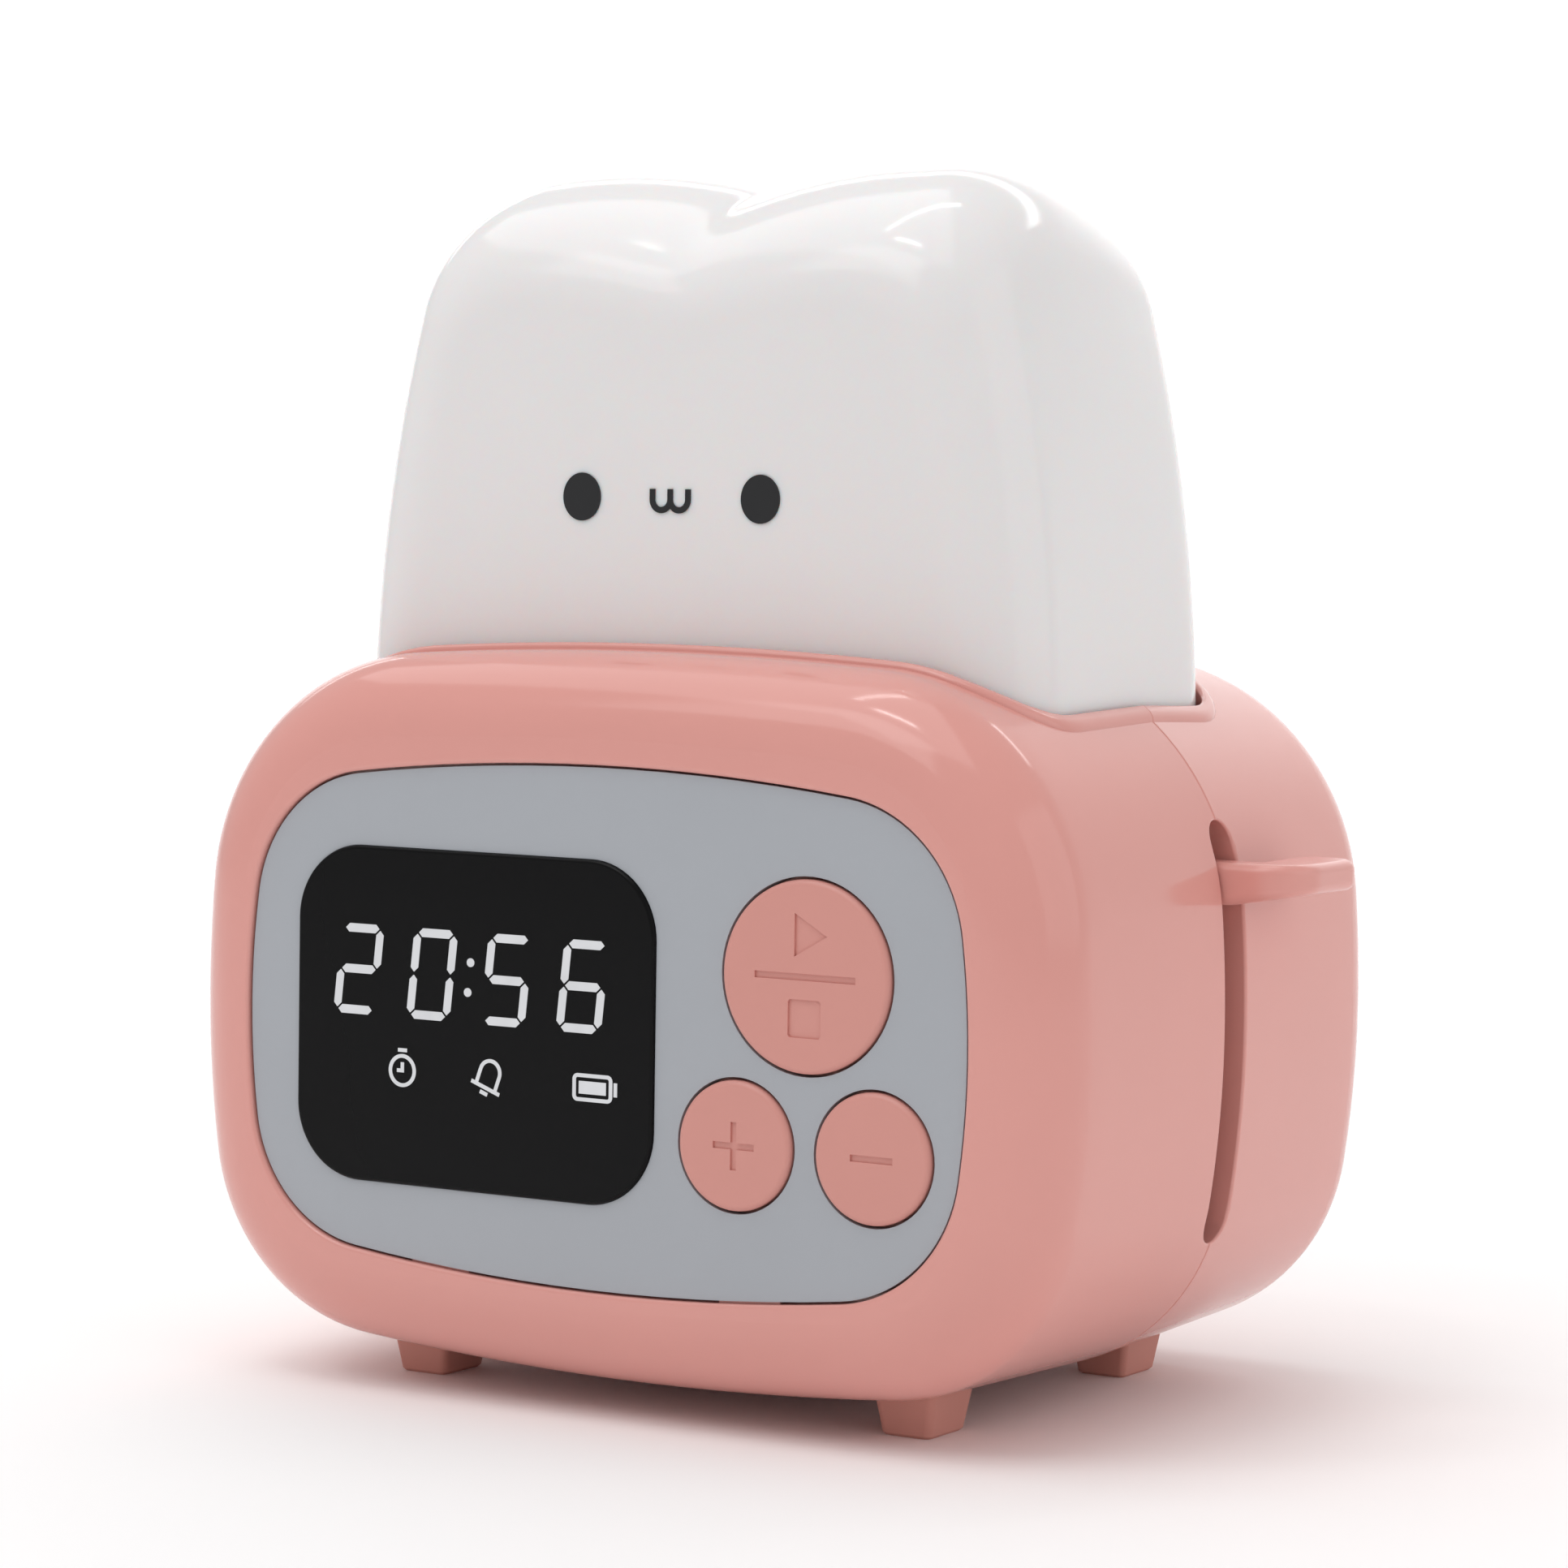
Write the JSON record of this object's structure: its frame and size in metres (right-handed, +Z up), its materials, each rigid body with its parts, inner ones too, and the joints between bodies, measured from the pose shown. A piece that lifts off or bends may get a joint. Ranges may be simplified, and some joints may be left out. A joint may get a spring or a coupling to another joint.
{
  "type": "alarm clock",
  "caption": "Toaster-shaped kids alarm clock whose bread-slice night light is lowered by a side lever, with a front display and round push buttons.",
  "frame": {"origin": "on the table, midway between the four feet, on the plane where the two body shells meet", "axes": "+X to the right seen from the front, +Y to the back, +Z up"},
  "size_m": [0.1343, 0.088, 0.1502],
  "materials": {
    "shell_pink": "moulded ABS, satin to soft gloss",
    "lever_pink": "moulded ABS, soft gloss",
    "button_pink": "moulded ABS, fine matte",
    "foot_pink": "moulded ABS, fine matte",
    "panel_grey": "moulded ABS, fine matte",
    "window_black": "smoked acrylic, polished",
    "lit_segment": "lit white",
    "diffuser": "milky polypropylene, soft gloss",
    "print_black": "pad-printed ink",
    "inner_plastic": "moulded, matte",
    "circuit_board": "solder mask",
    "component_black": "moulded epoxy",
    "led_package": "phosphor in a white package",
    "screw_steel": "zinc plated",
    "rod_steel": "ground",
    "connector_steel": "drawn, plated",
    "battery_wrap": "shrink film",
    "foam": "closed-cell foam",
    "speaker_frame": "moulded, matte"
  },
  "bodies": {
    "root": {"front_housing": "shell_pink", "rear_housing": "shell_pink", "case_screws": "screw_steel", "front_panel": "panel_grey", "display_window": "window_black", "display_module": "inner_plastic", "time_digits": "lit_segment", "status_icons": "lit_segment", "button_switches": "component_black", "main_board": "circuit_board", "board_screws": "screw_steel", "board_chips": "component_black", "guide_rod_left": "rod_steel", "guide_rod_right": "rod_steel", "lift_spring_left": "rod_steel", "lift_spring_right": "rod_steel", "push_latch": "inner_plastic", "battery_pack": "battery_wrap", "battery_pad": "foam", "speaker": "speaker_frame", "speaker_gasket": "foam", "power_board": "circuit_board", "usb_socket": "connector_steel", "foot_front_left": "foot_pink", "foot_front_right": "foot_pink", "foot_rear_left": "foot_pink", "foot_rear_right": "foot_pink"},
    "lamp_carriage": {"lamp_shade": "diffuser", "face_print": "print_black", "lamp_base": "inner_plastic", "led_board": "circuit_board", "lamp_leds": "led_package", "lamp_screws": "screw_steel", "lift_carriage": "inner_plastic", "lever": "lever_pink", "latch_striker": "inner_plastic"},
    "start_stop": {"start_stop_button": "button_pink", "start_stop_plunger": "inner_plastic"},
    "minute": {"minute_button": "button_pink", "minute_plunger": "inner_plastic"},
    "second": {"second_button": "button_pink", "second_plunger": "inner_plastic"}
  },
  "joints": [
    {"name": "lift", "type": "slide", "parent": "root", "child": "lamp_carriage", "axis": [0, 0, -1], "range_m": [0, 0.038], "stiffness_N_per_m": 60, "springref_m": -0.035, "deforming": ["lift_spring_left", "lift_spring_right"]},
    {"name": "start_stop_press", "type": "slide", "parent": "root", "child": "start_stop", "axis": [0, 1, 0], "range_m": [0, 0.0008], "stiffness_N_per_m": 1000, "springref_m": -0.001},
    {"name": "minute_press", "type": "slide", "parent": "root", "child": "minute", "axis": [0, 1, 0], "range_m": [0, 0.0008], "stiffness_N_per_m": 1000, "springref_m": -0.001},
    {"name": "second_press", "type": "slide", "parent": "root", "child": "second", "axis": [0, 1, 0], "range_m": [0, 0.0008], "stiffness_N_per_m": 1000, "springref_m": -0.001}
  ]
}
